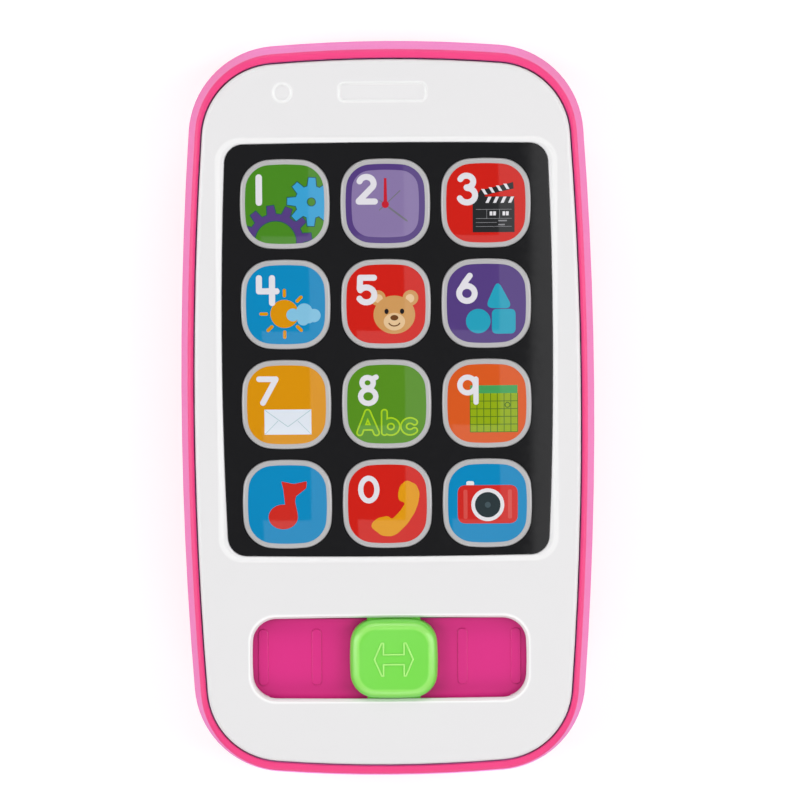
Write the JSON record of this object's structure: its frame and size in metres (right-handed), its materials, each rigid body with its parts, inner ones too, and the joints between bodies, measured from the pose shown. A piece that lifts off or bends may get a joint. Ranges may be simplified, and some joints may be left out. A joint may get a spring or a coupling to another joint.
{
  "type": "toy mobile phone",
  "caption": "Toy mobile phone: bowed two-part case, black panel with a grid of domed push buttons, a knob that slides in a slot, and a screwed battery door.",
  "frame": {"origin": "middle of the flat back, which the phone lies on", "axes": "+Z out of the face with the buttons, +Y towards the earpiece end, +X to the right of someone who looks at the face"},
  "size_m": [0.0784, 0.14, 0.025],
  "materials": {
    "pink_case": "smooth injection-moulded ABS, opaque pink",
    "white_case": "smooth injection-moulded ABS, white",
    "overlay_film": "glossy black printed film",
    "button_green": "glossy moulded cap with a green printed field",
    "button_purple": "glossy moulded cap with a purple printed field",
    "button_red": "glossy moulded cap with a red printed field",
    "button_blue": "glossy moulded cap with a blue printed field",
    "button_orange": "glossy moulded cap with an orange printed field",
    "button_vermilion": "glossy moulded cap with an orange-red printed field",
    "knob_green": "smooth injection-moulded ABS, bright green",
    "key_rubber": "translucent grey silicone rubber",
    "circuit_board": "green solder-masked glass-epoxy board",
    "chip_resin": "black potting resin",
    "components": "small dark electronic parts",
    "screw_steel": "zinc-plated steel",
    "contact_steel": "nickel-plated spring steel",
    "battery_jacket": "plain blue-grey shrink sleeve with no marks",
    "speaker_steel": "pressed zinc-plated steel",
    "speaker_paper": "black pressed paper cone",
    "ferrite": "dark grey sintered ferrite",
    "felt": "black felt ring",
    "switch_black": "fine-textured black ABS",
    "lead_red": "red PVC insulation",
    "lead_black": "black PVC insulation"
  },
  "bodies": {
    "housing": {"front_housing": "white_case", "rear_housing": "pink_case", "housing_screws": "screw_steel", "screen_overlay": "overlay_film", "rubber_keypad": "key_rubber", "circuit_board": "circuit_board", "board_screws": "screw_steel", "sound_chip": "chip_resin", "board_components": "components", "slider_track": "pink_case", "slider_track_screws": "screw_steel", "battery_left": "battery_jacket", "battery_right": "battery_jacket", "battery_springs": "contact_steel", "battery_plus_plate": "contact_steel", "battery_minus_plate": "contact_steel", "battery_bridge": "contact_steel", "speaker_gasket": "felt", "speaker_frame": "speaker_steel", "speaker_cone": "speaker_paper", "speaker_magnet": "ferrite", "speaker_screws": "screw_steel", "power_switch_body": "contact_steel", "switch_board": "circuit_board", "switch_board_screws": "screw_steel", "speaker_lead_red": "lead_red", "speaker_lead_black": "lead_black", "battery_lead_red": "lead_red", "battery_lead_black": "lead_black", "switch_leads": "lead_black"},
    "slider": {"slider_knob": "knob_green", "slider_contact": "contact_steel"},
    "battery_door": {"battery_door": "pink_case"},
    "battery_door_screw": {"battery_door_screw": "screw_steel"},
    "power_switch": {"power_switch_knob": "switch_black", "power_switch_lever": "switch_black"},
    "button_1": {"button_1": "button_green", "rubber_key_1": "key_rubber"},
    "button_2": {"button_2": "button_purple", "rubber_key_2": "key_rubber"},
    "button_3": {"button_3": "button_red", "rubber_key_3": "key_rubber"},
    "button_4": {"button_4": "button_blue", "rubber_key_4": "key_rubber"},
    "button_5": {"button_5": "button_red", "rubber_key_5": "key_rubber"},
    "button_6": {"button_6": "button_purple", "rubber_key_6": "key_rubber"},
    "button_7": {"button_7": "button_orange", "rubber_key_7": "key_rubber"},
    "button_8": {"button_8": "button_green", "rubber_key_8": "key_rubber"},
    "button_9": {"button_9": "button_vermilion", "rubber_key_9": "key_rubber"},
    "button_music": {"button_music": "button_blue", "rubber_key_music": "key_rubber"},
    "button_0": {"button_0": "button_red", "rubber_key_0": "key_rubber"},
    "button_camera": {"button_camera": "button_blue", "rubber_key_camera": "key_rubber"}
  },
  "joints": [
    {"name": "press_1", "type": "slide", "parent": "housing", "child": "button_1", "axis": [0, 0, -1], "range_m": [0, 0.0008], "stiffness_N_per_m": 900},
    {"name": "press_2", "type": "slide", "parent": "housing", "child": "button_2", "axis": [0, 0, -1], "range_m": [0, 0.0008], "stiffness_N_per_m": 900},
    {"name": "press_3", "type": "slide", "parent": "housing", "child": "button_3", "axis": [0, 0, -1], "range_m": [0, 0.0008], "stiffness_N_per_m": 900},
    {"name": "press_4", "type": "slide", "parent": "housing", "child": "button_4", "axis": [0, 0, -1], "range_m": [0, 0.0008], "stiffness_N_per_m": 900},
    {"name": "press_5", "type": "slide", "parent": "housing", "child": "button_5", "axis": [0, 0, -1], "range_m": [0, 0.0008], "stiffness_N_per_m": 900},
    {"name": "press_6", "type": "slide", "parent": "housing", "child": "button_6", "axis": [0, 0, -1], "range_m": [0, 0.0008], "stiffness_N_per_m": 900},
    {"name": "press_7", "type": "slide", "parent": "housing", "child": "button_7", "axis": [0, 0, -1], "range_m": [0, 0.0008], "stiffness_N_per_m": 900},
    {"name": "press_8", "type": "slide", "parent": "housing", "child": "button_8", "axis": [0, 0, -1], "range_m": [0, 0.0008], "stiffness_N_per_m": 900},
    {"name": "press_9", "type": "slide", "parent": "housing", "child": "button_9", "axis": [0, 0, -1], "range_m": [0, 0.0008], "stiffness_N_per_m": 900},
    {"name": "press_music", "type": "slide", "parent": "housing", "child": "button_music", "axis": [0, 0, -1], "range_m": [0, 0.0008], "stiffness_N_per_m": 900},
    {"name": "press_0", "type": "slide", "parent": "housing", "child": "button_0", "axis": [0, 0, -1], "range_m": [0, 0.0008], "stiffness_N_per_m": 900},
    {"name": "press_camera", "type": "slide", "parent": "housing", "child": "button_camera", "axis": [0, 0, -1], "range_m": [0, 0.0008], "stiffness_N_per_m": 900},
    {"name": "slider_travel", "type": "slide", "parent": "housing", "child": "slider", "axis": [1, 0, 0], "range_m": [-0.0182, 0.0166]},
    {"name": "power_switch_travel", "type": "slide", "parent": "housing", "child": "power_switch", "axis": [0, 1, 0], "range_m": [0, 0.008]},
    {"name": "battery_door_swing", "type": "hinge", "parent": "housing", "child": "battery_door", "pos_m": [0, -0.0522, 0.0003], "axis": [-1, 0, 0], "range_deg": [0, 75]},
    {"name": "door_screw_turn", "type": "hinge", "parent": "battery_door", "child": "battery_door_screw", "pos_m": [0, 0.0095, 0.001], "axis": [0, 0, 1], "continuous": true}
  ]
}
